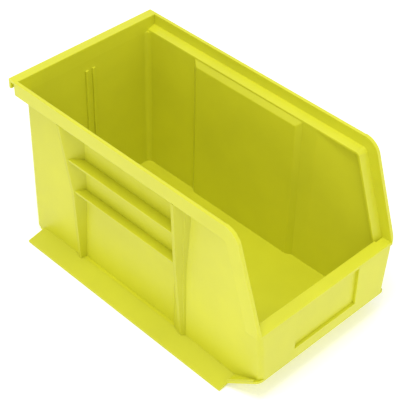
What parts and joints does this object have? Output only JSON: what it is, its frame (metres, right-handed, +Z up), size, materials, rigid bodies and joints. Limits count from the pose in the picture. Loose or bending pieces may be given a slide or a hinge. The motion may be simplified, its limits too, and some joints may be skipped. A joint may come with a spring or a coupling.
{
  "type": "stackable storage bin",
  "caption": "Open-fronted plastic storage bin that stacks on its rim and hooks on a rail by its rear lip, with ribbed finger grips in both sides.",
  "frame": {"origin": "middle of the bin's footprint, on the surface it stands on", "axes": "+Z up, -Y out of the open front, +X to the right of someone facing the front from outside"},
  "size_m": [0.2794, 0.4572, 0.254],
  "materials": {
    "shell": "satin moulded polypropylene",
    "rim": "satin moulded polypropylene",
    "rib": "satin moulded polypropylene",
    "skirt": "satin moulded polypropylene",
    "front": "satin moulded polypropylene"
  },
  "bodies": {
    "root": {"floor_panel": "shell", "floor_ramp": "shell", "back_wall": "shell", "left_rear_corner": "shell", "right_rear_corner": "shell", "left_side_wall": "shell", "right_side_wall": "shell", "left_pocket_wall": "shell", "right_pocket_wall": "shell", "left_front_side_wall": "front", "right_front_side_wall": "front", "left_divider_guide": "shell", "right_divider_guide": "shell", "front_wall": "front", "label_frame": "front", "front_lip": "front", "rear_rim": "rim", "hang_lip": "rim", "left_rim": "rim", "right_rim": "rim", "left_rim_bend": "rim", "right_rim_bend": "rim", "left_sloped_rim": "rim", "right_sloped_rim": "rim", "left_rear_rib": "rib", "right_rear_rib": "rib", "left_front_rib": "rib", "right_front_rib": "rib", "left_upper_grip_bar": "rib", "right_upper_grip_bar": "rib", "left_lower_grip_bar": "rib", "right_lower_grip_bar": "rib", "left_stacking_skirt": "skirt", "right_stacking_skirt": "skirt", "left_toe_curb": "skirt", "right_toe_curb": "skirt"}
  },
  "joints": []
}
